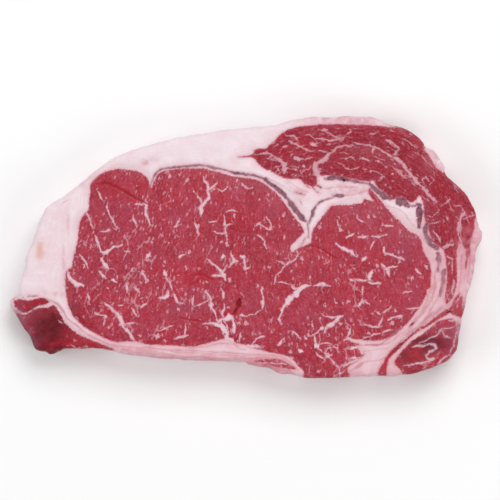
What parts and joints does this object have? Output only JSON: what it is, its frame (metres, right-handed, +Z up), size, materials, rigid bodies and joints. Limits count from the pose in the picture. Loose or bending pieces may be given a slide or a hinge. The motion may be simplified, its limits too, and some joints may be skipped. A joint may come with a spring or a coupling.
{
  "type": "raw ribeye steak",
  "caption": "Raw boneless ribeye steak lying flat, with a white fat cap, marbled eye, curved cap muscle and thin tail.",
  "frame": {"origin": "middle of the steak's box, on the flat underside", "axes": "+X along the steak from its tail to its rounded end, +Y towards the fat cap, +Z up out of the cut face"},
  "size_m": [0.2134, 0.1184, 0.0219],
  "materials": {
    "meat": "moist raw meat, satin"
  },
  "bodies": {
    "root": {"steak": "meat"}
  },
  "joints": []
}
